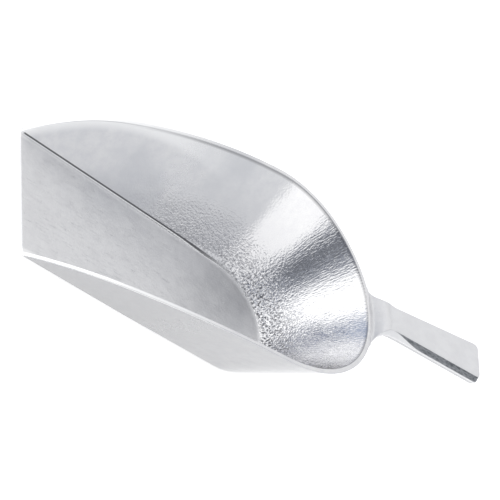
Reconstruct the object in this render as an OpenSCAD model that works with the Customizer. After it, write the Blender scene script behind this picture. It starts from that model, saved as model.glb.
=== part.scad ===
// Cast aluminium ice scoop: a flat-bottomed bowl with flared walls and a solid handle.
// The casting is one piece. It is modelled as its natural regions, which meet face to face.
// X runs from the front lip to the handle, Y across the bowl and Z up.

/* [Bowl] */
// Width of the floor at the front lip
lip_w = 120; // [112:1:130]
// Distance from the lip to the centre of the rounded back
back_x = 196.5; // [180:0.5:215]
// Radius of the floor's rounded back
back_r = 51.5; // [48:0.5:55]
// Lean of the walls from upright, in degrees
flare = 30; // [22:1:34]
// Thickness of the walls
wall_t = 3.8; // [3:0.1:4.5]
// Thickness of the floor
floor_t = 5; // [4:0.1:6]
// Inside radius where the walls bend out of the floor
bend_r = 4; // [2:0.5:8]
// Radius of the bowl's outer bottom edge
edge_r = 2.5; // [1:0.5:3.5]

/* [Front lip] */
// Length over which the floor thins towards the lip
lip_l = 110; // [60:5:140]
// Thickness of the lip at its edge
lip_t = 1; // [0.6:0.1:2]
// Radius of the lip's two corners, seen from above
corner_r = 10; // [4:0.5:14]

/* [Rim] */
// Slope at which the rim leaves the lip, in degrees
rim_start = 44.5; // [42:0.5:47]
// Radius of the rim's first arc, seen from the side
rim_r1 = 188; // [175:1:200]
// Slope where the first arc meets the second, in degrees
rim_mid = 20.5; // [18:0.5:23]
// Radius of the rim's second arc, seen from the side
rim_r2 = 520; // [480:5:550]
// Slope at which the rim falls towards the back, in degrees
rim_fall = 2; // [0:0.5:4]

/* [Handle] */
// Length of the grip, behind the neck
grip_l = 79; // [70:0.5:95]
// Width of the grip's top face where it leaves the neck
grip_w1 = 24.5; // [20:0.5:27]
// Width of the grip's top face at its end
grip_w2 = 33.5; // [28:0.5:38]
// Height of each of the two facets along the grip's sides
side_h = 5; // [4:0.5:7]
// How far each side slopes outwards to the line between its facets
side_w = 3.5; // [2:0.5:6]
// Radius of the corners at the end of the grip
end_r = 5; // [2:0.5:8]
// Rise of the handle away from the bowl, in degrees
rise = 5.4; // [2:0.2:9]
// Length of the neck, from the rim to the grip
neck_l = 18; // [16:0.5:22]
// Radius of the neck's flare into the rim
neck_r = 23; // [21:0.5:28]
// Climb of the neck from the rim to the line of the grip's top face
neck_step = 9.5; // [4:0.5:10]
// Depth of the neck below the grip's top face, where it meets the bowl
neck_h = 19; // [16:0.5:24]

/* [Hidden] */
$fn = 96;
// Longer than the scoop, for shapes that are cut to length afterwards
far = 500;
// Stations along the neck, and strips across it
neck_n = 20;
neck_m = 8;

// Angle by which each side of the floor turns in towards the back
taper = acos(back_r / norm([lip_w / 2, back_x])) - atan2(back_x, lip_w / 2);
// Thickness of the wall measured level, and the level run of the bend
wall_w = wall_t / cos(flare);
bend_w = bend_r * (1 - sin(flare)) / cos(flare);
// Distance from the axis of the rounded back to the centre of the bend
bend_x = back_r - bend_w;

// Centres of the rim's two arcs, and the points where each one ends
rim_c1 = rim_r1 * [sin(rim_start), -cos(rim_start)];
rim_p1 = rim_c1 + rim_r1 * [-sin(rim_mid), cos(rim_mid)];
rim_c2 = rim_p1 + rim_r2 * [sin(rim_mid), -cos(rim_mid)];
rim_p2 = rim_c2 + rim_r2 * [sin(rim_fall), cos(rim_fall)];

// Height and position of the rim's outer edge at the middle of the back
rim_h = (rim_p2[1] - (back_x + back_r + wall_w - rim_p2[0]) * tan(rim_fall))
  / (1 + tan(flare) * tan(rim_fall));
rim_x = back_x + back_r + wall_w + rim_h * tan(flare);

// Angle by which each side of the grip turns outwards
grip_turn = atan((grip_w2 - grip_w1) / 2 / grip_l);
overall_l = rim_x + (neck_l + grip_l) * cos(rise) + 2 * side_h * sin(rise);

// Half-width of the floor plate at a distance x from the lip, along its straight sides
function edge_y(x) = (bend_x - (x - back_x) * sin(taper)) / cos(taper);

// How far the rim's outer edge falls back from its middle at a distance y to one side
function rim_sag(y) = (rim_x - back_x) - sqrt(pow(rim_x - back_x, 2) - pow(y, 2));

// Easing from 1 at the rim to 0 at a distance run behind it
function fade(d, run) = pow(min(1, max(0, 1 - d / run)), 2);

// Half-width of the neck's top face, with the arc of its flare, at a distance s behind the rim
function neck_w(s) = grip_w1 / 2 - (neck_l - s) * tan(grip_turn)
  + neck_r - sqrt(pow(neck_r, 2) - pow(min(neck_l - s, 0.98 * neck_r), 2));

// Drops below the grip's top face of the neck's top, its side line and its underside
function top_drop(d) = neck_step * fade(d, 0.6 * neck_l);
function side_drop(d) = top_drop(d) + side_h * (1 - 0.6 * fade(d, neck_l));
function under_drop(d) = 2 * side_h + (neck_h - 2 * side_h) * fade(d + neck_l / 2, neck_l);

// Points across the neck's top from its +Y edge to its -Y edge, or back across its underside
function strip(s, half, side) =
  [for (j = [0:neck_m]) [s, side * (1 - 2 * j / neck_m) * half]];
function drop_top(p) = [p[0], p[1], -top_drop(p[0] + rim_sag(p[1]))];
function drop_side(p) = [p[0], p[1], -side_drop(p[0] + rim_sag(p[1]))];
function drop_under(p) = [p[0], p[1], -under_drop(p[0] + rim_sag(p[1]))];

// Closed section of the neck at a distance s behind the rim
function neck_section(s) =
  let (
    top_w = neck_w(s),
    out_w = top_w + side_w * (1 - 0.7 * fade(s, neck_l)),
    low_w = grip_w1 / 2 + (top_w - grip_w1 / 2) / 2
  )
  concat(
    [for (p = strip(s, top_w, 1)) drop_top(p)],
    [drop_side([s, -out_w])],
    [for (p = strip(s, low_w, -1)) drop_under(p)],
    [drop_side([s, out_w])]
  );

// Moves the scoop so that it rests on Z = 0, with the middle of its length at the origin.
module placed() {
  translate([-overall_l / 2, 0, floor_t])
    children();
}

// Turns a profile drawn along X and Z into a slab of a width across the scoop.
module across(width) {
  rotate([90, 0, 0])
    linear_extrude(width, center = true)
      children();
}

// Cross-section of the bend and the flared wall above it. X starts at the bend's centre.
module wall_section() {
  out = [cos(flare), -sin(flare)];
  up = [sin(flare), cos(flare)];
  wall_l = 1.2 * rim_h / cos(flare);
  bend_c = [0, bend_r];
  edge_z = edge_r - floor_t;
  edge_c = [bend_w + wall_w + edge_z * tan(flare) - edge_r / cos(flare), edge_z];
  inner = bend_c + bend_r * out;
  outer = inner + wall_t * out;
  difference() {
    union() {
      polygon([
        [0, 0],
        [0, -floor_t],
        [edge_c[0], -floor_t],
        edge_c + edge_r * out,
        outer + wall_l * up,
        inner + wall_l * up,
        inner
      ]);
      translate(edge_c)
        circle(edge_r);
    }
    translate(bend_c)
      circle(bend_r);
  }
}

// Everything below the rim, seen from the side.
module rim_profile() {
  intersection() {
    translate(rim_c1)
      circle(rim_r1, $fn = 720);
    translate([-1, -far])
      square([rim_p1[0] + 1, 2 * far]);
  }
  intersection() {
    translate(rim_c2)
      circle(rim_r2, $fn = 720);
    translate([rim_p1[0], -far])
      square([rim_p2[0] - rim_p1[0], 2 * far]);
  }
  polygon([
    rim_p2,
    [rim_p2[0], -far],
    [rim_p2[0] + far, -far],
    rim_p2 + far * [1, -tan(rim_fall)]
  ]);
}

// Everything behind the lip's edge and its two rounded corners, seen from above.
module lip_plan() {
  half = lip_w / 2 + wall_w - corner_r * (1 - tan(rim_start) * tan(flare));
  translate([corner_r, -far])
    square(2 * far);
  translate([0, -half])
    square([2 * corner_r, 2 * half]);
  for (side = [-1, 1])
    translate([corner_r, side * half])
      circle(corner_r);
}

// The wedge taken off the underside to thin the floor towards the lip, seen from the side.
module lip_wedge() {
  polygon([
    [-1, -lip_t],
    [0, -lip_t],
    [lip_l, -floor_t],
    [lip_l, -floor_t - 1],
    [-1, -floor_t - 1]
  ]);
}

// Cuts a wall or the floor to the rim, the lip's corners and the thinned underside.
module trimmed() {
  difference() {
    intersection() {
      children();
      across(far)
        rim_profile();
      translate([0, 0, -far])
        linear_extrude(2 * far)
          lip_plan();
    }
    across(far)
      lip_wedge();
  }
}

// Outline of the flat floor inside the bends, seen from above.
module floor_plan() {
  difference() {
    translate([0, -far / 2])
      square([back_x + bend_x, far]);
    for (side = [0, 1])
      mirror([0, side])
        polygon([
          [-1, edge_y(-1)],
          [-1, far],
          [far, far],
          [far, edge_y(far)]
        ]);
    difference() {
      translate([back_x + bend_x * sin(taper), -far / 2])
        square(far);
      translate([back_x, 0])
        circle(bend_x, $fn = 360);
    }
  }
}

// The floor between two distances from the lip.
module floor_plate(from, to) {
  translate([0, 0, -floor_t])
    linear_extrude(floor_t)
      intersection() {
        floor_plan();
        translate([from, -far / 2])
          square([to - from, far]);
      }
}

// Straight flared wall on the +Y side, with the bend at its foot.
module side_wall() {
  run = 1.1 * norm([back_x, lip_w / 2]);
  trimmed()
    translate([back_x, 0, 0])
      rotate([0, 0, 90 - taper])
        translate([bend_x, run / 2, 0])
          across(run)
            wall_section();
}

// Solid bounded by the bowl's outer surface at the back, carried up past the handle.
module back_core() {
  low_r = back_r + wall_w - floor_t * tan(flare);
  height = 2 * rim_h;
  translate([back_x, 0, -floor_t])
    cylinder(h = height, r1 = low_r, r2 = low_r + height * tan(flare), $fn = 360);
}

// Places a shape drawn along the handle's own axis, with the grip's top face at Z = 0.
module on_handle() {
  translate([rim_x, 0, rim_h + neck_step])
    rotate([0, -rise, 0])
      children();
}

// The neck, from inside the back wall to the grip.
module neck_loft() {
  start = -0.7 * neck_l;
  step = (neck_l - start) / neck_n;
  sides = 2 * neck_m + 4;
  points = [for (i = [0:neck_n]) each neck_section(start + i * step)];
  skin = [
    for (i = [0:neck_n - 1])
      for (j = [0:sides - 1])
        let (a = i * sides + j, b = i * sides + (j + 1) % sides)
          [a, a + sides, b + sides, b]
  ];
  first = [
    for (j = [0:neck_m - 1]) [j, j + 1, sides - 3 - j, sides - 2 - j],
    [neck_m, neck_m + 1, neck_m + 2],
    [sides - 2, sides - 1, 0]
  ];
  last = [
    for (face = first)
      [for (k = [len(face) - 1:-1:0]) face[k] + neck_n * sides]
  ];
  polyhedron(points, concat(first, skin, last));
}

// The +Y half of the grip, a prism that turns outwards by the grip's own taper.
module grip_half() {
  rotate([0, 0, grip_turn])
    rotate([90, 0, 90])
      translate([0, 0, -side_w])
        linear_extrude(1.2 * grip_l)
          polygon([
            [-grip_w1 / 4, 0],
            [grip_w1 / 2 * cos(grip_turn), 0],
            [grip_w1 / 2 * cos(grip_turn) + side_w, -side_h],
            [grip_w1 / 2 * cos(grip_turn), -2 * side_h],
            [-grip_w1 / 4, -2 * side_h]
          ]);
}

// Outline that cuts the grip to length and rounds the corners of its end, seen from above.
module grip_plan() {
  half = grip_w2 / 2 + side_w - end_r;
  translate([0, -grip_w2])
    square([grip_l - end_r, 2 * grip_w2]);
  translate([grip_l / 2, -half])
    square([grip_l / 2, 2 * half]);
  for (side = [-1, 1])
    translate([grip_l - end_r, side * half])
      circle(end_r);
}

module floor() {
  color("gainsboro")
    placed()
      floor_plate(lip_l, far);
}

module front_lip() {
  color("silver")
    placed()
      trimmed()
        floor_plate(0, lip_l);
}

module right_wall() {
  color("lightgrey")
    placed()
      side_wall();
}

module left_wall() {
  color("lightgrey")
    placed()
      mirror([0, 1, 0])
        side_wall();
}

module back_wall() {
  color("darkgrey")
    placed()
      trimmed()
        translate([back_x, 0, 0])
          rotate([0, 0, taper - 90])
            rotate_extrude(angle = 180 - 2 * taper, $fn = 360)
              translate([bend_x, 0])
                wall_section();
}

module handle_neck() {
  color("silver")
    placed()
      difference() {
        on_handle()
          neck_loft();
        back_core();
      }
}

module handle_grip() {
  color("gainsboro")
    placed()
      on_handle()
        translate([neck_l, 0, 0])
          intersection() {
            union() {
              grip_half();
              mirror([0, 1, 0])
                grip_half();
            }
            translate([0, 0, -far / 2])
              linear_extrude(far)
                grip_plan();
          }
}

floor();
front_lip();
left_wall();
right_wall();
back_wall();
handle_neck();
handle_grip();
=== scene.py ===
"""Cast aluminium ice scoop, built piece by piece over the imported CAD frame."""
import math

import bmesh
import bpy
from mathutils import Matrix, Vector


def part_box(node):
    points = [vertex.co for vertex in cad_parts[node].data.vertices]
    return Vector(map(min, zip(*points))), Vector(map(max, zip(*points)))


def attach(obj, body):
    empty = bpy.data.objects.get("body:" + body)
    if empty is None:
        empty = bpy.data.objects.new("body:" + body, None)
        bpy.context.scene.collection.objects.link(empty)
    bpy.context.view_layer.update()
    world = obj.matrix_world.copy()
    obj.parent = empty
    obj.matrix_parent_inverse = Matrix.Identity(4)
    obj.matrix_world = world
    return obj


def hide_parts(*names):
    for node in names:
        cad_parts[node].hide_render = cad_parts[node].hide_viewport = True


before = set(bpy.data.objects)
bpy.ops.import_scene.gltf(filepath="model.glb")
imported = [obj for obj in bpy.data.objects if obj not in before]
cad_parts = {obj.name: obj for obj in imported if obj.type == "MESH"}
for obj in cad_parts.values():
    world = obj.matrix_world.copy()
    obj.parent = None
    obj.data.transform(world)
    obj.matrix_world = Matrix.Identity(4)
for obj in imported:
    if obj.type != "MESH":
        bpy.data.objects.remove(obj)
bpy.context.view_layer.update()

# The bowl, in millimetres, with X = 0 at the lip's edge and Z = 0 on the floor's upper face
MM = 0.001
LIP_W = 120.0
BACK_X = 196.5
BACK_R = 51.5
FLARE = math.radians(30.0)
WALL_T = 3.8
FLOOR_T = 5.0
LIP_L = 110.0
LIP_T = 1.0
CORNER_R = 10.0
BEND_R = 4.0
EDGE_R = 2.5
RIM_START = math.radians(44.5)
RIM_R1 = 188.0
RIM_MID = math.radians(20.5)
RIM_R2 = 520.0
RIM_FALL = math.radians(2.0)
# The handle
GRIP_L = 79.0
GRIP_W1 = 24.5
GRIP_W2 = 33.5
SIDE_H = 5.0
SIDE_W = 3.5
END_R = 5.0
RISE = math.radians(5.4)
NECK_L = 18.0
NECK_R = 23.0
NECK_STEP = 9.5
NECK_H = 19.0

# What follows from those sizes
HALF_L = -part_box("front_lip")[0][0] / MM
TAN = math.tan(FLARE)
TURN = math.radians(90.0) - FLARE
TAPER = math.acos(BACK_R / math.hypot(LIP_W / 2, BACK_X)) - math.atan2(BACK_X, LIP_W / 2)
WALL_W = WALL_T / math.cos(FLARE)
BEND_W = BEND_R * math.tan(TURN / 2)
BEND_X = BACK_R - BEND_W
TANGENT_X = BACK_X + BEND_X * math.sin(TAPER)
RIM_C1 = (RIM_R1 * math.sin(RIM_START), -RIM_R1 * math.cos(RIM_START))
RIM_P1 = (RIM_C1[0] - RIM_R1 * math.sin(RIM_MID), RIM_C1[1] + RIM_R1 * math.cos(RIM_MID))
RIM_C2 = (RIM_P1[0] + RIM_R2 * math.sin(RIM_MID), RIM_P1[1] - RIM_R2 * math.cos(RIM_MID))
RIM_P2 = (RIM_C2[0] + RIM_R2 * math.sin(RIM_FALL), RIM_C2[1] + RIM_R2 * math.cos(RIM_FALL))
RIM_H = (RIM_P2[1] - (BACK_X + BACK_R + WALL_W - RIM_P2[0]) * math.tan(RIM_FALL)) / (
    1 + TAN * math.tan(RIM_FALL)
)
RIM_X = BACK_X + BACK_R + WALL_W + RIM_H * TAN
GRIP_TURN = math.atan((GRIP_W2 - GRIP_W1) / 2 / GRIP_L)
HANDLE_L = NECK_L + GRIP_L

# Inside radius at the foot of the wall, near the lip and round the back, and where it changes
CRISP_BEND = 1.2
SOFT_BEND = 10.0
SOFT_FROM = 150.0
SOFT_RUN = 60.0
# How far the rounding of the rim reaches from its inner edge and from its outer edge
RIM_IN = 0.9
RIM_OUT = 1.3
# How far behind the lip its rounded corners and its level front fade into the wall's sections
CORNER_RUN = 4.0
LEVEL_RUN = 20.0
# The share of its radius over which the arc of a lip's corner, or of the neck's flare, is followed
CORNER_MOST = 0.9
FLARE_MOST = 0.98
# How far the rounding of the handle's edges reaches across its flat faces and its side facets
FLAT_ROUND = 1.1
SIDE_ROUND = 0.7
# Length of the rounding at the end of the grip, and the share of the height that it takes off
NOSE_L = 1.2
NOSE_TAKEN = 0.22
# How far ahead of the rim the neck's skin starts, inside the wall
NECK_AHEAD = 12.0
# At the rim: shares of the side's slope and of its height that the neck has lost
NECK_NARROWED = 0.7
NECK_LOWERED = 0.6
# Share of the neck's length over which its top climbs from the rim
NECK_CLIMB = 0.6

# Sections along each side of the bowl: at the lip's edge, close behind it, to the end of the
# lip and to the rounded back. Then sections round the back
EDGE_ROWS = 6
NEAR_ROWS = 14
NEAR_L = 14.0
NEAR_SPREAD = 1.3
LIP_ROWS = 40
SIDE_ROWS = 44
BACK_ROWS = 120
# Where the search for the rim ends, further out than it is anywhere, and how often it halves
MEET_REACH = 130.0
MEET_HALVINGS = 40
# The section in which the lip ends, counted from either end
LIP_END = EDGE_ROWS + NEAR_ROWS + LIP_ROWS
# How far each section reaches in over the floor, and the columns between opposite sections
INNER_REACH = 8.0
FLOOR_COLUMNS = 40
# Points along a section: up the foot of the wall, up the wall, round the rim's two edges,
# down the wall, round its bottom edge, and along its underside
FOOT_POINTS = 16
FOOT_RUN = 6.0
FOOT_SHARE = 0.35
WALL_POINTS = 40
RIM_IN_STEPS = 5
RIM_OUT_STEPS = 7
OUTER_POINTS = 24
BOTTOM_POINTS = 8
BOTTOM_SHARE = 0.45
UNDER_POINTS = 3
REACH_POINTS = 4
# The points on the rounding of the rim's inner edge that carry a painted line: painted shade round
# the back, a painted highlight near the lip
RIM_LINE = slice(FOOT_POINTS + WALL_POINTS, FOOT_POINTS + WALL_POINTS + 3)
# Sections along the neck, the grip and its rounded tip
NECK_ROWS = 60
GRIP_ROWS = 30
TIP_ROWS = 20
# Steps round each edge of the handle's section and across its flat faces
RING_CORNER = 5
RING_FLAT = 28
# The point of the handle's section in the middle of its side line
RING_SIDE = 3 * (RING_CORNER + 1) // 2


# ---------------------------------------------------------------- mesh helpers


class Skin:
    """A closed skin of welded points. Each face belongs to a piece; a cap closes two of them."""

    def __init__(self):
        self.points = []
        self.index = {}
        self.faces = []
        self.caps = []
        self.marked = set()

    def add(self, point):
        """The number of a point, which is new unless one already lies there."""
        key = tuple(round(value, 3) for value in point)
        if key not in self.index:
            self.index[key] = len(self.points)
            self.points.append(tuple(point))
        return self.index[key]

    def corners(self, points):
        """The welded corners of a face, without repeats."""
        ids = []
        for point in points:
            corner = self.add(point)
            if corner not in ids:
                ids.append(corner)
        return ids

    def face(self, piece, *points):
        ids = self.corners(points)
        if len(ids) > 2:
            self.faces.append((piece, ids))

    def mark(self, points):
        """Marks points of the skin, so that the material can draw a line along them."""
        self.marked.update(self.add(point) for point in points)

    def cap(self, pieces, points):
        ids = self.corners(points)
        if len(ids) > 2:
            self.caps.append((pieces, ids))


def placed(point):
    """From the bowl's own frame in millimetres to the row frame in metres."""
    return Vector((point[0] - HALF_L, point[1], point[2] + FLOOR_T)) * MM


def oriented(skin):
    """The skin's faces turned outwards, and its normal at each point."""
    mesh = bmesh.new()
    for point in skin.points:
        mesh.verts.new(placed(point))
    mesh.verts.ensure_lookup_table()
    kept = []
    for piece, ids in skin.faces:
        face = mesh.faces.new([mesh.verts[i] for i in ids])
        kept.append((piece, face))
    bmesh.ops.recalc_face_normals(mesh, faces=mesh.faces[:])
    mesh.normal_update()
    mesh.verts.index_update()
    faces = [(piece, [v.index for v in face.verts]) for piece, face in kept]
    normals = [v.normal.copy() for v in mesh.verts]
    mesh.free()
    return faces, normals


def piece_object(name, skin, faces, normals, material):
    """One closed piece of the skin. Its surface keeps the whole skin's normals, so no seam shows."""
    mesh = bmesh.new()
    verts = {}

    def vert(i):
        if i not in verts:
            verts[i] = mesh.verts.new(placed(skin.points[i]))
        return verts[i]

    smooth = set()
    for piece, ids in faces:
        if piece == name:
            smooth.add(mesh.faces.new([vert(i) for i in ids]))
    caps = [
        mesh.faces.new([vert(i) for i in ids])
        for pieces, ids in skin.caps
        if name in pieces
    ]
    bmesh.ops.recalc_face_normals(mesh, faces=mesh.faces[:])
    mesh.normal_update()
    number = {v: i for i, v in verts.items()}
    split = []
    for face in mesh.faces:
        face.smooth = True
        for v in face.verts:
            split.append(normals[number[v]] if face in smooth else face.normal.copy())
    data = bpy.data.meshes.new(name + "_skin")
    mesh.to_mesh(data)
    marks = data.attributes.new("line", "FLOAT", "POINT")
    for vertex, i in zip(data.vertices, verts):
        marks.data[vertex.index].value = float(i in skin.marked)
    mesh.free()
    data.normals_split_custom_set(split)
    data.materials.append(material)
    obj = bpy.data.objects.new(name + "_cast", data)
    bpy.context.collection.objects.link(obj)
    return obj


# ---------------------------------------------------------------- the bowl's shape


def rim_z(x):
    """Height of the rim above the floor at a distance x from the lip."""
    if x < RIM_P1[0]:
        return RIM_C1[1] + math.sqrt(RIM_R1 ** 2 - (x - RIM_C1[0]) ** 2)
    if x < RIM_P2[0]:
        return RIM_C2[1] + math.sqrt(RIM_R2 ** 2 - (x - RIM_C2[0]) ** 2)
    return RIM_P2[1] - (x - RIM_P2[0]) * math.tan(RIM_FALL)


def thickness(x):
    """Thickness of the floor, which thins towards the lip."""
    return min(FLOOR_T, LIP_T + (FLOOR_T - LIP_T) * max(x, 0.0) / LIP_L)


def edge_y(x):
    """Half-width of the flat floor along its straight sides."""
    return (BEND_X - (x - BACK_X) * math.sin(TAPER)) / math.cos(TAPER)


def bend_radius(x):
    """Inside radius at the foot of the wall: crisp near the lip, soft round the back."""
    share = min(1.0, max(0.0, (x - SOFT_FROM) / SOFT_RUN))
    return CRISP_BEND + (SOFT_BEND - CRISP_BEND) * share * share * (3 - 2 * share)


def inner_z(r, radius):
    """Height of the inner face at a distance r outside the floor's nominal edge."""
    reach = radius * math.tan(TURN / 2)
    start = BEND_W - reach
    end = BEND_W + reach * math.cos(TURN)
    if r <= start:
        return 0.0
    if r < end:
        return radius - math.sqrt(radius ** 2 - (r - start) ** 2)
    return (r - BEND_W) * math.tan(TURN)


def outer_z(r):
    """Height of the outer face of the wall at a distance r outside the floor's edge."""
    return (r - BEND_W - WALL_W) * math.tan(TURN)


def meet(height, foot, out, low):
    """The distance r at which a face of the wall reaches the rim, found by halving."""
    high = low + MEET_REACH
    for _ in range(MEET_HALVINGS):
        r = (low + high) / 2
        if height(r) < rim_z(foot[0] + r * out[0]):
            low = r
        else:
            high = r
    return low


def curve(a, corner, b, steps):
    """Points of a rounded corner from a to b."""
    points = []
    for k in range(steps + 1):
        t = k / steps
        points.append(
            (
                (1 - t) ** 2 * a[0] + 2 * t * (1 - t) * corner[0] + t * t * b[0],
                (1 - t) ** 2 * a[1] + 2 * t * (1 - t) * corner[1] + t * t * b[1],
            )
        )
    return points


def line(a, b, steps):
    """Evenly spaced points from a to b, without b."""
    return [
        (a[0] + (b[0] - a[0]) * k / steps, a[1] + (b[1] - a[1]) * k / steps)
        for k in range(steps)
    ]


def towards(a, b, distance):
    """The point a distance from a on the way to b, or half-way if that is nearer."""
    length = math.hypot(b[0] - a[0], b[1] - a[1])
    share = min(distance / length, 0.5) if length > 0 else 0.0
    return (a[0] + (b[0] - a[0]) * share, a[1] + (b[1] - a[1]) * share)


def inner_run(inner_top, outer_top, radius):
    """Points up the wall's inner face and round the rim's inner edge, closest at the foot."""
    foot_r = min(FOOT_RUN, FOOT_SHARE * inner_top[0])
    last = towards(inner_top, (0.0, 0.0), RIM_IN)[0]
    reaches = [foot_r * k / FOOT_POINTS for k in range(FOOT_POINTS)]
    reaches += [foot_r + (last - foot_r) * k / WALL_POINTS for k in range(WALL_POINTS)]
    points = [(r, inner_z(r, radius)) for r in reaches]
    below = (last, inner_z(last, radius))
    return points + curve(below, inner_top, towards(inner_top, outer_top, RIM_IN), RIM_IN_STEPS)


def outer_run(inner_top, outer_top, thick):
    """Points round the rim's outer edge, down the wall, round its bottom edge and under it."""
    edge_r = min(EDGE_R, BOTTOM_SHARE * thick)
    edge = (BEND_W + WALL_W + (edge_r - thick) * TAN - edge_r / math.cos(FLARE), edge_r - thick)
    arc = [
        (edge[0] + edge_r * math.cos(a), edge[1] + edge_r * math.sin(a))
        for a in (-FLARE - TURN * k / BOTTOM_POINTS for k in range(BOTTOM_POINTS))
    ]
    before = towards(outer_top, inner_top, RIM_OUT)
    after = towards(outer_top, arc[0], RIM_OUT)
    points = curve(before, outer_top, after, RIM_OUT_STEPS)
    points += line(after, arc[0], OUTER_POINTS)[1:]
    points += arc
    return points + line((edge[0], -thick), (0.0, -thick), UNDER_POINTS)


def wall_section(foot, out):
    """The wall's section as (r, z) points in three runs: floor side, wall, and underside."""
    radius = bend_radius(foot[0])
    thick = thickness(foot[0])
    start = BEND_W - radius * math.tan(TURN / 2)
    top_in = meet(lambda r: inner_z(r, radius), foot, out, start)
    top_out = meet(outer_z, foot, out, BEND_W + WALL_W)
    inner_top = (top_in, inner_z(top_in, radius))
    outer_top = (top_out, outer_z(top_out))
    floor_run = [
        (r, inner_z(r, radius)) for r in (-INNER_REACH + k for k in range(int(INNER_REACH)))
    ]
    wall_run = inner_run(inner_top, outer_top, radius) + outer_run(inner_top, outer_top, thick)
    under_run = [(-k * INNER_REACH / REACH_POINTS, -thick) for k in range(REACH_POINTS + 1)]
    return floor_run, wall_run, under_run


def nosed(x, point):
    """Rounds the front edge of the lip and its two corners. x is where the section stands."""
    half = LIP_W / 2 + WALL_W - CORNER_R * (1 - math.tan(RIM_START) * TAN)
    over = min(abs(point[1]) - half, CORNER_MOST * CORNER_R)
    shift = 0.0
    if over > 0 and x < CORNER_RUN:
        shift = (CORNER_R - math.sqrt(CORNER_R ** 2 - over ** 2)) * (1 - x / CORNER_RUN) ** 2
    shift += (x - point[0]) * max(0.0, 1 - x / LEVEL_RUN)
    nose = LIP_T / 2
    z = point[2]
    if x < nose:
        z = -nose + (z + nose) * math.sqrt(max(0.0, 1 - (1 - x / nose) ** 2))
    return (point[0] + shift, point[1], z)


def side_stations():
    """Distances from the lip of the sections along each side, closest at the lip's edge."""
    edge = [LIP_T / 2 * (1 - math.cos(math.pi / 2 * k / EDGE_ROWS)) for k in range(EDGE_ROWS + 1)]
    last = edge[-1]
    near = [
        last + (NEAR_L - last) * (k / NEAR_ROWS) ** NEAR_SPREAD for k in range(1, NEAR_ROWS + 1)
    ]
    last = near[-1]
    lip = [last + (LIP_L - last) * k / LIP_ROWS for k in range(1, LIP_ROWS + 1)]
    side = [LIP_L + (TANGENT_X - LIP_L) * k / SIDE_ROWS for k in range(1, SIDE_ROWS + 1)]
    return edge + near + lip + side


def stations(side):
    """Every section from the right of the lip round to its left: (foot, outward direction, x)."""
    rows = [((x, edge_y(x)), (math.sin(TAPER), math.cos(TAPER)), x) for x in side]
    for k in range(1, BACK_ROWS):
        angle = (math.pi / 2 - TAPER) * (1 - 2 * k / BACK_ROWS)
        out = (math.cos(angle), math.sin(angle))
        foot = (BACK_X + BEND_X * out[0], BEND_X * out[1])
        rows.append((foot, out, foot[0]))
    rows += [((x, -edge_y(x)), (math.sin(TAPER), -math.cos(TAPER)), x) for x in reversed(side)]
    return rows


def bowl_runs(foot, out, x):
    """A section's three runs of points in the bowl's own frame."""
    return [
        [nosed(x, (foot[0] + r * out[0], foot[1] + r * out[1], z)) for r, z in run]
        for run in wall_section(foot, out)
    ]


def bowl_skin():
    """The bowl as one closed skin, labelled by piece."""
    skin = Skin()
    side = side_stations()
    runs = [bowl_runs(*row) for row in stations(side)]
    strips = len(runs) - 1
    straight = len(side) - 1
    walls = ["right_wall"] * straight
    walls += ["back_wall"] * (strips - 2 * straight)
    walls += ["left_wall"] * straight
    floors = ["front_lip"] * LIP_END + ["floor"] * (strips - 2 * LIP_END) + ["front_lip"] * LIP_END
    for i in range(strips):
        add_strip(skin, runs[i], runs[i + 1], floors[i], walls[i])
    for i in (straight, strips - straight):
        skin.cap((walls[i - 1], walls[i]), runs[i][1] + [runs[i][2][0]])
    add_floor(skin, runs, floors)
    for run in runs:
        skin.mark(run[1][RIM_LINE])
    return skin


def add_strip(skin, runs, next_runs, floor, wall):
    """The faces between two sections, and the cap where the wall meets the floor."""
    for k, piece in enumerate((floor, wall, floor)):
        a, b = list(runs[k]), list(next_runs[k])
        if k < 2:
            a.append(runs[k + 1][0])
            b.append(next_runs[k + 1][0])
        for j in range(len(a) - 1):
            skin.face(piece, a[j], a[j + 1], b[j + 1], b[j])
    skin.cap((floor, wall), (runs[1][0], next_runs[1][0], next_runs[2][0], runs[2][0]))


def between(a, b, share):
    """The point a share of the way from a to b."""
    return tuple(a[k] + (b[k] - a[k]) * share for k in range(3))


def add_floor(skin, runs, floors):
    """The middle of the floor, in rows from the right edge to the left one, above and below."""
    def row(i, below):
        right, left = runs[i], runs[-1 - i]
        a, b = (right[2][-1], left[2][-1]) if below else (right[0][0], left[0][0])
        return [between(a, b, j / FLOOR_COLUMNS) for j in range(FLOOR_COLUMNS + 1)]

    for i in range(len(runs) // 2):
        for below in (False, True):
            a, b = row(i, below), row(i + 1, below)
            for j in range(FLOOR_COLUMNS):
                skin.face(floors[i], a[j], a[j + 1], b[j + 1], b[j])
    pair = ("front_lip", "floor")
    top, low = row(LIP_END, False), row(LIP_END, True)
    for j in range(FLOOR_COLUMNS):
        skin.cap(pair, (top[j], top[j + 1], low[j + 1], low[j]))
    for i in (LIP_END, len(runs) - 1 - LIP_END):
        skin.cap(pair, runs[i][0] + [runs[i][1][0]] + runs[i][2])


# ---------------------------------------------------------------- the handle's shape


def fade(d, run):
    """Easing from 1 at the rim to 0 at a distance run behind it."""
    return min(1.0, max(0.0, 1 - d / run)) ** 2


def rim_sag(y):
    """How far the rim falls back from its middle at a distance y to one side."""
    radius = RIM_X - BACK_X
    return radius - math.sqrt(radius ** 2 - y ** 2)


def half_width(s):
    """Half-width of the handle's top face at a distance s behind the rim."""
    straight = GRIP_W1 / 2 + (s - NECK_L) * math.tan(GRIP_TURN)
    if s >= NECK_L:
        return straight
    ahead = min(NECK_L - s, FLARE_MOST * NECK_R)
    return straight + NECK_R - math.sqrt(NECK_R ** 2 - ahead ** 2)


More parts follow.
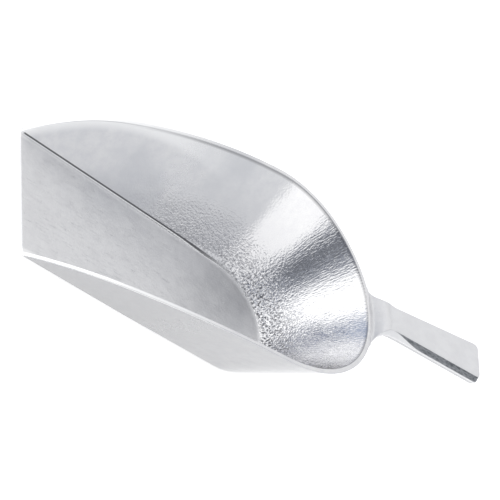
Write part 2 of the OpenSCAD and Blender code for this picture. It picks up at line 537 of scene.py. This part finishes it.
def handle_section(s):
    """The handle's section as (y, level) points: level 0 is its top, 1 its side line, 2 its foot."""
    half = half_width(s)
    out = SIDE_W * (1 - NECK_NARROWED * fade(s, NECK_L))
    low = GRIP_W1 / 2 + (half - GRIP_W1 / 2) / (2 if s < NECK_L else 1)
    if s > HANDLE_L - END_R:
        cut = END_R - math.sqrt(max(0.0, END_R ** 2 - (s - HANDLE_L + END_R) ** 2))
        half -= cut
        low -= cut
    corners = [(half, 0.0), (half + out, 1.0), (low, 2.0)]
    ring = [(-y, level) for y, level in corners][::-1] + corners
    points = []
    for k, corner in enumerate(ring):
        before, after = ring[k - 1], ring[(k + 1) % len(ring)]
        flat_before = before[1] == corner[1]
        flat_after = after[1] == corner[1]
        a = level_towards(corner, before, FLAT_ROUND if flat_before else SIDE_ROUND)
        b = level_towards(corner, after, FLAT_ROUND if flat_after else SIDE_ROUND)
        points += curve(a, corner, b, RING_CORNER)
        if flat_after:
            points += line(b, level_towards(after, corner, FLAT_ROUND), RING_FLAT)[1:]
    return points


def level_towards(a, b, distance):
    """The point a distance in millimetres from a towards b, in (y, level) terms."""
    length = math.hypot(b[0] - a[0], (b[1] - a[1]) * SIDE_H)
    share = min(distance / length, 0.45)
    return (a[0] + (b[0] - a[0]) * share, a[1] + (b[1] - a[1]) * share)


def handle_z(s, y, level):
    """Height of a point of the handle below the line of its top face."""
    d = s + rim_sag(y)
    top = NECK_STEP * fade(d, NECK_CLIMB * NECK_L)
    side = top + SIDE_H * (1 - NECK_LOWERED * fade(d, NECK_L))
    under = 2 * SIDE_H + (NECK_H - 2 * SIDE_H) * fade(d + NECK_L / 2, NECK_L)
    if level <= 1:
        return -(top + (side - top) * level)
    return -(side + (under - side) * (level - 1))


def handle_point(s, y, level):
    """From the handle's own terms to the bowl's frame, with the end of the grip rounded."""
    z = handle_z(s, y, level)
    past = (s - HANDLE_L + NOSE_L) / NOSE_L
    if past > 0:
        z = -SIDE_H + (z + SIDE_H) * (1 - NOSE_TAKEN * (1 - math.sqrt(1 - past ** 2)))
    above = NECK_STEP + s * math.sin(RISE) + z * math.cos(RISE)
    inside = RIM_X - rim_sag(y) + min(above, 0.0) * TAN - WALL_W / 2
    x = max(RIM_X + s * math.cos(RISE) - z * math.sin(RISE), inside)
    return (x, y, RIM_H + above)


def handle_rows():
    """Distances behind the rim of the handle's sections: along the neck, then along the grip."""
    neck_run = NECK_L + NECK_AHEAD
    neck = [-NECK_AHEAD + neck_run * k / NECK_ROWS for k in range(NECK_ROWS + 1)]
    grip = [NECK_L + (GRIP_L - END_R) * k / GRIP_ROWS for k in range(1, GRIP_ROWS + 1)]
    grip += [
        HANDLE_L - END_R * (1 - math.sin(math.pi / 2 * k / TIP_ROWS)) for k in range(1, TIP_ROWS + 1)
    ]
    return neck + grip


def handle_skin():
    """The neck and the grip as one closed skin, labelled by piece."""
    skin = Skin()
    rings = [[handle_point(s, y, level) for y, level in handle_section(s)] for s in handle_rows()]
    count = len(rings[0])
    for i in range(len(rings) - 1):
        piece = "handle_neck" if i < NECK_ROWS else "handle_grip"
        for j in range(count):
            k = (j + 1) % count
            skin.face(piece, rings[i][j], rings[i][k], rings[i + 1][k], rings[i + 1][j])
    turned = rings[0][RING_SIDE:] + rings[0][:RING_SIDE]
    half = count // 2
    top, low = turned[:half], turned[half:][::-1]
    for j in range(half - 1):
        skin.face("handle_neck", top[j], top[j + 1], low[j + 1], low[j])
    skin.face("handle_grip", *rings[-1])
    skin.cap(("handle_neck", "handle_grip"), rings[NECK_ROWS])
    return skin


# ---------------------------------------------------------------- materials

# Tints of the metal as (red, green, blue, alpha). Each pair is the darker and the lighter cloud
WALL_TINTS = ((0.79, 0.79, 0.81, 1.0), (0.86, 0.86, 0.865, 1.0))
# The outside's tints: partly a duller cast skin, partly painted shade standing in for the shadowed
# floor that it reflects
OUTSIDE_DULL_AND_SHADE_TINTS = ((0.47, 0.47, 0.48, 1.0), (0.52, 0.52, 0.525, 1.0))
FLOOR_TINTS = ((0.78, 0.78, 0.79, 1.0), (0.86, 0.86, 0.865, 1.0))
HANDLE_TINTS = ((0.86, 0.86, 0.87, 1.0), (0.92, 0.92, 0.925, 1.0))
# Darker tints, in streaks, for the handle's upper side facets
DARK_FACET_TINTS = ((0.11, 0.12, 0.13, 1.0), (0.36, 0.37, 0.39, 1.0))
SOFT_SHADE = (0.66, 0.67, 0.70, 1.0)
# Painted shade low on the walls, deep in the bowl
LOW_SHADE = (0.68, 0.68, 0.70, 1.0)
SCRATCH = (0.55, 0.55, 0.56, 1.0)
# Painted shade on faces that look down
UNDERSIDE_SHADE = (0.56, 0.56, 0.57, 1.0)
# Painted shade for faces turned back towards the bowl
NECK_SHADE = (0.70, 0.70, 0.71, 1.0)
# Painted shade in the pebbles' pits
PIT_SHADE = (0.10, 0.10, 0.11, 1.0)
# Painted shade in the crease above the foot of the wall
CREASE_SHADE = (0.04, 0.04, 0.05, 1.0)
# Painted shade along the rim's inner edge, round the back
RIM_LINE_SHADE = (0.30, 0.30, 0.31, 1.0)
# Painted highlight along the foot of the wall
FOOT_HIGHLIGHT = (0.97, 0.97, 0.97, 1.0)
# Painted glints on the pebbles' tips
TIP_GLINT = (0.98, 0.98, 0.98, 1.0)
# Painted highlight along the rim's inner edge, near the lip
RIM_LINE_HIGHLIGHT = (0.99, 0.99, 0.99, 1.0)
# Painted highlight, on the rim near the lip and on the floor's edges by the walls
PAINTED_HIGHLIGHT = (1.0, 1.0, 1.0, 1.0)
# The part of a noise's range over which it passes from one tint or roughness to the other
CLOUD_RANGE = (0.3, 0.7)

# Where the front edge of the lip is in the row frame, in metres. The masks below run between
# places in that frame, which has X = 0 in the middle of the scoop and the handle on its +X side
LIP_X = -HALF_L * MM


def feed(tree, socket, value):
    """Links a socket's output into another, or sets it to a plain value."""
    if isinstance(value, bpy.types.NodeSocket):
        tree.links.new(value, socket)
    else:
        socket.default_value = value


def maths(tree, operation, first, second=0.0):
    """The result of one operation on one or two values."""
    new = tree.nodes.new("ShaderNodeMath")
    new.operation = operation
    feed(tree, new.inputs[0], first)
    feed(tree, new.inputs[1], second)
    return new.outputs[0]


def product(tree, first, *others):
    """The product of several values."""
    for other in others:
        first = maths(tree, "MULTIPLY", first, other)
    return first


def eased(tree, value, low, high, to_low=0.0, to_high=1.0):
    """Runs smoothly from to_low to to_high as the value goes from low to high."""
    new = tree.nodes.new("ShaderNodeMapRange")
    new.interpolation_type = "SMOOTHSTEP"
    feed(tree, new.inputs["Value"], value)
    feed(tree, new.inputs["From Min"], low)
    feed(tree, new.inputs["From Max"], high)
    feed(tree, new.inputs["To Min"], to_low)
    feed(tree, new.inputs["To Max"], to_high)
    return new.outputs["Result"]


def noise(tree, vector, scale, detail=2.0, roughness=0.5):
    """Soft noise about 0.5, with scale features to the metre."""
    new = tree.nodes.new("ShaderNodeTexNoise")
    feed(tree, new.inputs["Vector"], vector)
    new.inputs["Scale"].default_value = scale
    new.inputs["Detail"].default_value = detail
    new.inputs["Roughness"].default_value = roughness
    return new.outputs["Fac"]


def stretched(tree, vector, factors, turn=0.0):
    """The vector scaled by three factors after a turn about Z, for marks that run one way."""
    new = tree.nodes.new("ShaderNodeMapping")
    feed(tree, new.inputs["Vector"], vector)
    new.inputs["Scale"].default_value = factors
    new.inputs["Rotation"].default_value = (0.0, 0.0, turn)
    return new.outputs["Vector"]


def bump(tree, height, strength, distance, below=None):
    """The normal of a relief, laid over that of another relief if there is one below."""
    new = tree.nodes.new("ShaderNodeBump")
    feed(tree, new.inputs["Height"], height)
    feed(tree, new.inputs["Strength"], strength)
    new.inputs["Distance"].default_value = distance
    if below is not None:
        tree.links.new(below, new.inputs["Normal"])
    return new.outputs["Normal"]


def blended(tree, amount, first, second):
    """A colour between two others."""
    new = tree.nodes.new("ShaderNodeMix")
    new.data_type = "RGBA"
    feed(tree, new.inputs["Factor"], amount)
    feed(tree, new.inputs[6], first)
    feed(tree, new.inputs[7], second)
    return new.outputs[2]


def metal(name):
    """A new metallic material, with its node tree and the object-space position."""
    material = bpy.data.materials.new(name)
    material.use_nodes = True
    tree = material.node_tree
    shader = tree.nodes["Principled BSDF"]
    shader.inputs["Metallic"].default_value = 1.0
    position = tree.nodes.new("ShaderNodeTexCoord").outputs["Object"]
    return material, tree, shader, position


def axes(tree, vector):
    """The three components of a vector."""
    split = tree.nodes.new("ShaderNodeSeparateXYZ")
    feed(tree, split.inputs["Vector"], vector)
    return split.outputs


def facing(tree):
    """The components of the surface's normal."""
    return axes(tree, tree.nodes.new("ShaderNodeNewGeometry").outputs["Normal"])


def clouded(tree, clouds, tints):
    """A colour that drifts between two tints."""
    return blended(tree, eased(tree, clouds, *CLOUD_RANGE), *tints)


def underside(tree):
    """1 where the surface faces down, 0 where it faces up: where the painted shade underneath goes.
    """
    return eased(tree, facing(tree)[2], 0.0, -0.3)


def up_slope(tree, position):
    """Metres round the back of the bowl and up its wall, for marks that run up the wall."""
    x, y, z = axes(tree, position)
    angle = maths(tree, "ARCTAN2", y, maths(tree, "SUBTRACT", x, (BACK_X - HALF_L) * MM))
    new = tree.nodes.new("ShaderNodeCombineXYZ")
    feed(tree, new.inputs[0], product(tree, angle, 1.5 * BACK_R * MM))
    feed(tree, new.inputs[1], z)
    return new.outputs["Vector"]


def wall_distance(tree, position):
    """Metres across the floor to the foot of the nearer straight wall."""
    x, y, z = axes(tree, position)
    forward = product(tree, x, math.sin(TAPER))
    sideways = product(tree, maths(tree, "ABSOLUTE", y), math.cos(TAPER))
    limit = (BEND_X + (BACK_X - HALF_L) * math.sin(TAPER)) * MM
    return maths(tree, "SUBTRACT", limit, maths(tree, "ADD", forward, sideways))


def below_rim(tree, position):
    """Metres down from the rim's first arc, seen from the side."""
    x, y, z = axes(tree, position)
    flat = tree.nodes.new("ShaderNodeCombineXYZ")
    feed(tree, flat.inputs[0], maths(tree, "SUBTRACT", x, (RIM_C1[0] - HALF_L) * MM))
    feed(tree, flat.inputs[1], maths(tree, "SUBTRACT", z, (RIM_C1[1] + FLOOR_T) * MM))
    length = tree.nodes.new("ShaderNodeVectorMath")
    length.operation = "LENGTH"
    tree.links.new(flat.outputs["Vector"], length.inputs[0])
    return maths(tree, "SUBTRACT", RIM_R1 * MM, length.outputs["Value"])


def wall_masks(tree, position):
    """Places on the walls: along X, up Z, the inside, the back's inside, and low on the back."""
    x, y, z = axes(tree, position)
    inner = eased(tree, facing(tree)[2], 0.0, 0.3)
    back = product(tree, inner, eased(tree, x, -0.12, 0.06))
    near_side = eased(tree, y, -0.075, -0.035, to_low=0.2)
    low = product(tree, eased(tree, z, 0.048, 0.006), near_side)
    return {"x": x, "z": z, "inner": inner, "back": back, "low": low}


def wall_relief(tree, position, masks, pebbles):
    """Soft waves all over, fine marks up the wall of the back, and pebbles round its foot."""
    waves = noise(tree, position, scale=38.0)
    marks = stretched(tree, up_slope(tree, position), (1.0, 0.25, 1.0), turn=0.5)
    marks = noise(tree, marks, scale=900.0)
    marked = product(tree, masks["inner"], eased(tree, masks["x"], 0.03, 0.07, to_high=0.6))
    foot = maths(tree, "ADD", product(tree, masks["low"], 0.9), 0.1)
    foot = maths(tree, "ADD", product(tree, masks["back"], foot), 0.02)
    normal = bump(tree, waves, strength=1.0, distance=0.0005)
    normal = bump(tree, marks, marked, 0.0004, normal)
    return bump(tree, pebbles, foot, 0.0009, normal)


def wall_tint(tree, position, masks, clouds):
    """Clean metal with soft shades, painted shade low on the walls in front of the back, and a
    darker outside: partly a duller cast skin, partly painted shade.
    """
    x, z = masks["x"], masks["z"]
    shades = noise(tree, stretched(tree, position, (1.0, 1.0, 0.4)), scale=26.0)
    shades = eased(tree, shades, 0.42, 0.66, to_high=0.6)
    shades = product(tree, shades, eased(tree, x, 0.03, -0.01))
    clean = blended(tree, shades, clouded(tree, clouds, WALL_TINTS), SOFT_SHADE)
    # Painted shade, darker low on the walls in front of the back
    low_shade = product(tree, eased(tree, x, -0.10, 0.01), eased(tree, x, 0.07, 0.03))
    low_shade = product(tree, low_shade, eased(tree, z, 0.080, 0.025, to_high=0.8))
    clean = blended(tree, low_shade, clean, LOW_SHADE)
    # The darker outside tints: partly a duller cast skin, partly painted shade
    return blended(tree, masks["inner"], clouded(tree, clouds, OUTSIDE_DULL_AND_SHADE_TINTS), clean)


def pebbled(tree, masks, pebbles, color):
    """Painted shade in the pits of the pebbles and painted glints on their tips, low round the back.
    """
    deep = product(tree, masks["back"], masks["low"], masks["low"])
    deep = product(tree, deep, eased(tree, masks["x"], -0.01, 0.06, 0.25, 0.9))
    # Painted shade in the pebbles' pits
    pit_shade = product(tree, deep, eased(tree, pebbles, 0.50, 0.38))
    color = blended(tree, pit_shade, color, PIT_SHADE)
    # Painted glints on the pebbles' tips
    tip_glints = product(tree, deep, eased(tree, pebbles, 0.50, 0.62))
    return blended(tree, tip_glints, color, TIP_GLINT)


def edged(tree, position, masks, color):
    """A painted highlight along the foot, a painted highlight on the rim near the lip, and painted
    shade in the crease above the foot.
    """
    x, z, inner = masks["x"], masks["z"], masks["inner"]
    # Painted highlight along the foot of the wall
    foot_highlight = product(tree, inner, eased(tree, z, 0.0064, 0.0054))
    color = blended(tree, foot_highlight, color, FOOT_HIGHLIGHT)
    # Painted highlight on the rim near the lip
    rim_highlight = product(tree, inner, eased(tree, below_rim(tree, position), 0.008, 0.001))
    rim_highlight = product(tree, rim_highlight, eased(tree, x, -0.02, -0.10))
    color = blended(tree, rim_highlight, color, PAINTED_HIGHLIGHT)
    # Painted shade in the crease above the foot
    crease_shade = product(tree, eased(tree, z, 0.0067, 0.0061), eased(tree, z, 0.0052, 0.0055))
    crease_shade = product(tree, crease_shade, eased(tree, x, 0.03, -0.02, to_high=0.9), inner)
    crease_shade = product(tree, crease_shade, eased(tree, x, LIP_X + 0.001, LIP_X + 0.004))
    return blended(tree, crease_shade, color, CREASE_SHADE)


def lined(tree, masks, color):
    """The painted line inside the rim: painted shade round the back, a painted highlight near the
    lip.
    """
    line_node = tree.nodes.new("ShaderNodeAttribute")
    line_node.attribute_name = "line"
    on_line = line_node.outputs["Fac"]
    # Painted shade along the rim's inner edge
    dark = product(tree, on_line, eased(tree, masks["x"], -0.14, -0.04, to_high=0.7))
    color = blended(tree, dark, color, RIM_LINE_SHADE)
    # Painted highlight along the rim's inner edge near the lip
    bright = product(tree, on_line, eased(tree, masks["x"], -0.10, -0.14))
    return blended(tree, bright, color, RIM_LINE_HIGHLIGHT)


def wall_metal():
    """Tumbled casting: satin near the lip, smoother and pebbled round the back."""
    material, tree, shader, position = metal("cast_wall")
    masks = wall_masks(tree, position)
    pebbles = noise(tree, position, scale=600.0, detail=1.0, roughness=0.6)
    clouds = noise(tree, position, scale=150.0, detail=6.0, roughness=0.7)
    normal = wall_relief(tree, position, masks, pebbles)
    tree.links.new(normal, shader.inputs["Normal"])
    color = wall_tint(tree, position, masks, clouds)
    color = pebbled(tree, masks, pebbles, color)
    color = edged(tree, position, masks, color)
    color = lined(tree, masks, color)
    tree.links.new(color, shader.inputs["Base Color"])
    satin = eased(tree, masks["x"], -0.12, 0.04, to_low=0.33, to_high=0.13)
    rough = maths(tree, "ADD", satin, eased(tree, clouds, *CLOUD_RANGE, -0.03, 0.03))
    tree.links.new(rough, shader.inputs["Roughness"])
    return material


def floor_metal():
    """The flat floor: a faint grain, long scratches from use, and a painted highlight along its
    edges by the walls, towards the lip.
    """
    material, tree, shader, position = metal("cast_floor")
    waves = noise(tree, position, scale=45.0, detail=3.0)
    scratches = stretched(tree, position, (0.05, 1.0, 1.0), turn=0.5)
    scratches = noise(tree, scratches, scale=1500.0, roughness=0.7)
    scratches = eased(tree, scratches, 0.60, 0.75)
    grain = noise(tree, position, scale=520.0, detail=3.0, roughness=0.6)
    normal = bump(tree, waves, strength=1.0, distance=0.00025)
    normal = bump(tree, scratches, 0.6, 0.0002, normal)
    normal = bump(tree, grain, 0.6, 0.0004, normal)
    tree.links.new(normal, shader.inputs["Normal"])
    clouds = noise(tree, position, scale=90.0, detail=6.0, roughness=0.65)
    color = clouded(tree, clouds, FLOOR_TINTS)
    color = blended(tree, product(tree, scratches, 0.35), color, SCRATCH)
    # Painted highlight on the floor along the foot of the walls, towards the lip
    edge = eased(tree, wall_distance(tree, position), 0.0035, 0.0)
    edge = product(tree, edge, eased(tree, axes(tree, position)[0], 0.06, -0.06))
    color = blended(tree, edge, color, PAINTED_HIGHLIGHT)
    # Painted shade on the faces that look down
    color = blended(tree, underside(tree), color, UNDERSIDE_SHADE)
    tree.links.new(color, shader.inputs["Base Color"])
    rough = eased(tree, clouds, *CLOUD_RANGE, to_low=0.3, to_high=0.4)
    tree.links.new(rough, shader.inputs["Roughness"])
    return material


def dark_facet(tree, position):
    """The upper side facets, above a line that comes down behind the neck to their lower edge."""
    x, y, z = axes(tree, position)
    along_x, across_y, up = facing(tree)
    facet = product(tree, maths(tree, "ABSOLUTE", across_y), eased(tree, up, 0.2, 0.4))
    facet = eased(tree, facet, 0.55, 0.75)
    neck_x = (RIM_X + NECK_L - HALF_L) * MM
    side_z = (FLOOR_T + RIM_H + NECK_STEP + NECK_L * math.sin(RISE) - SIDE_H) * MM
    climb = product(tree, maths(tree, "SUBTRACT", x, neck_x), math.tan(RISE))
    above = maths(tree, "SUBTRACT", maths(tree, "SUBTRACT", z, side_z), climb)
    limit = eased(tree, x, neck_x - 0.010, neck_x + 0.024, to_low=0.0046, to_high=0.0006)
    return product(tree, facet, eased(tree, maths(tree, "SUBTRACT", above, limit), 0.0, 0.0006))


def handle_metal():
    """The handle: matt as cast on top, with its upper side facets painted darker, in streaks."""
    material, tree, shader, position = metal("cast_handle")
    grain = noise(tree, position, scale=520.0, detail=3.0, roughness=0.6)
    tree.links.new(bump(tree, grain, strength=0.6, distance=0.0005), shader.inputs["Normal"])
    clouds = noise(tree, position, scale=90.0, detail=5.0, roughness=0.6)
    color = clouded(tree, clouds, HANDLE_TINTS)
    # Painted shade on faces turned back towards the bowl, which darkens the neck's climb
    color = blended(tree, eased(tree, facing(tree)[0], 0.0, -0.6), color, NECK_SHADE)
    streaks = stretched(tree, position, (0.3, 1.0, 1.0))
    streaks = noise(tree, streaks, scale=900.0, detail=4.0, roughness=0.7)
    dark = clouded(tree, streaks, DARK_FACET_TINTS)
    color = blended(tree, dark_facet(tree, position), color, dark)
    # Painted shade on the faces that look down
    color = blended(tree, underside(tree), color, UNDERSIDE_SHADE)
    tree.links.new(color, shader.inputs["Base Color"])
    rough = eased(tree, clouds, *CLOUD_RANGE, to_low=0.45, to_high=0.55)
    tree.links.new(rough, shader.inputs["Roughness"])
    return material


# ---------------------------------------------------------------- building


FLOOR_MATERIAL = floor_metal()
WALL_MATERIAL = wall_metal()
HANDLE_MATERIAL = handle_metal()

# Each piece's skin, material and slot
PIECES = {
    "floor": ("bowl", FLOOR_MATERIAL, "cast_floor"),
    "front_lip": ("bowl", FLOOR_MATERIAL, "cast_floor"),
    "left_wall": ("bowl", WALL_MATERIAL, "cast_wall"),
    "right_wall": ("bowl", WALL_MATERIAL, "cast_wall"),
    "back_wall": ("bowl", WALL_MATERIAL, "cast_wall"),
    "handle_neck": ("handle", HANDLE_MATERIAL, "cast_handle"),
    "handle_grip": ("handle", HANDLE_MATERIAL, "cast_handle"),
}


def build_pieces():
    """Each piece of the two skins, in place of the CAD node of the same name."""
    skins = {"bowl": bowl_skin(), "handle": handle_skin()}
    ready = {name: oriented(skin) for name, skin in skins.items()}
    for name, (family, material, slot) in PIECES.items():
        piece = piece_object(name, skins[family], *ready[family], material)
        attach(piece, "root")
        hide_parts(name)


# ---------------------------------------------------------------- stage, studio and camera

# Half of the stage's width, and how far it lies below the scoop, in metres
STAGE_HALF = 12.0
STAGE_DROP = 0.0002

# The studio round the scoop: (direction, inner and outer angle in degrees, colour there)
STUDIO_COLOR = (0.79, 0.80, 0.82, 1.0)
STUDIO_SIDES = [
    ((0.48, 0.67, 0.57), 5.0, 25.0, (0.88, 0.88, 0.89, 1.0)),
    ((-0.35, 0.67, 0.62), 14.0, 30.0, (1.40, 1.40, 1.40, 1.0)),
    ((0.00, 0.05, 1.00), 8.0, 32.0, (0.46, 0.47, 0.49, 1.0)),
    ((-0.68, -0.18, 0.71), 7.0, 14.0, (0.18, 0.23, 0.38, 1.0)),
    ((-0.87, 0.34, 0.36), 15.0, 24.0, (1.45, 1.45, 1.45, 1.0)),
    ((-0.18, -0.87, 0.46), 17.0, 27.0, (1.20, 1.20, 1.20, 1.0)),
    ((-0.54, 0.83, 0.12), 5.0, 16.0, (0.40, 0.46, 0.60, 1.0)),
    ((-0.45, -0.89, 0.06), 6.0, 14.0, (0.12, 0.12, 0.14, 1.0)),
    ((-0.77, -0.41, 0.48), 15.0, 22.0, (0.33, 0.35, 0.40, 1.0)),
    ((-0.74, -0.46, 0.48), 3.0, 13.0, (0.16, 0.168, 0.188, 1.0)),
]

# The camera: the direction it stands in, how it is turned, how far off it is and what it aims at,
# in metres, with its lens and sensor in millimetres
CAMERA_AZIMUTH = math.radians(-38.38)
CAMERA_ELEVATION = math.radians(31.32)
CAMERA_ROLL = math.radians(54.31)
CAMERA_DISTANCE = 5.351
CAMERA_REACH = 50.0
CAMERA_AIM = Vector((-0.0283, -0.005, 0.0755))
CAMERA_LENS = 513.6
CAMERA_SENSOR = 36.0


def add_stage():
    """A pale floor under the scoop."""
    mesh = bpy.data.meshes.new("studio_floor")
    corners = [(-1, -1), (1, -1), (1, 1), (-1, 1)]
    points = [(x * STAGE_HALF, y * STAGE_HALF, -STAGE_DROP) for x, y in corners]
    mesh.from_pydata(points, [], [(0, 1, 2, 3)])
    floor = bpy.data.objects.new("studio_floor", mesh)
    bpy.context.collection.objects.link(floor)
    material = bpy.data.materials.new("studio_floor")
    material.use_nodes = True
    shader = material.node_tree.nodes["Principled BSDF"]
    shader.inputs["Base Color"].default_value = (0.9, 0.9, 0.9, 1.0)
    shader.inputs["Roughness"].default_value = 0.9
    shader.inputs["Emission Color"].default_value = (1.0, 1.0, 1.0, 1.0)
    shader.inputs["Emission Strength"].default_value = 0.6
    mesh.materials.append(material)


def add_world():
    """A plain studio with soft lighter and darker sides."""
    world = bpy.data.worlds.new("studio")
    world.use_nodes = True
    tree = world.node_tree
    direction = tree.nodes.new("ShaderNodeTexCoord").outputs["Generated"]
    color = STUDIO_COLOR
    for side, inner, outer, side_color in STUDIO_SIDES:
        dot = tree.nodes.new("ShaderNodeVectorMath")
        dot.operation = "DOT_PRODUCT"
        dot.inputs[1].default_value = Vector(side).normalized()
        tree.links.new(direction, dot.inputs[0])
        low, high = math.cos(math.radians(outer)), math.cos(math.radians(inner))
        color = blended(tree, eased(tree, dot.outputs["Value"], low, high), color, side_color)
    tree.links.new(color, tree.nodes["Background"].inputs["Color"])
    bpy.context.scene.world = world


def add_camera():
    """A long lens that looks down at the scoop, turned about its own axis."""
    level = math.cos(CAMERA_ELEVATION)
    back = Vector(
        (
            math.sin(CAMERA_AZIMUTH) * level,
            -math.cos(CAMERA_AZIMUTH) * level,
            math.sin(CAMERA_ELEVATION),
        )
    )
    right = Vector((math.cos(CAMERA_AZIMUTH), math.sin(CAMERA_AZIMUTH), 0.0))
    up = back.cross(right)
    turned_right = math.cos(CAMERA_ROLL) * right + math.sin(CAMERA_ROLL) * up
    turned_up = -math.sin(CAMERA_ROLL) * right + math.cos(CAMERA_ROLL) * up
    data = bpy.data.cameras.new("camera")
    data.lens = CAMERA_LENS
    data.sensor_width = CAMERA_SENSOR
    data.clip_end = CAMERA_REACH
    camera = bpy.data.objects.new("camera", data)
    turn = Matrix((turned_right, turned_up, back)).transposed()
    place = Matrix.Translation(CAMERA_AIM + back * CAMERA_DISTANCE)
    camera.matrix_world = place @ turn.to_4x4()
    bpy.context.collection.objects.link(camera)
    bpy.context.scene.camera = camera


build_pieces()
add_stage()
add_world()
add_camera()
bpy.context.scene.view_settings.view_transform = "Standard"
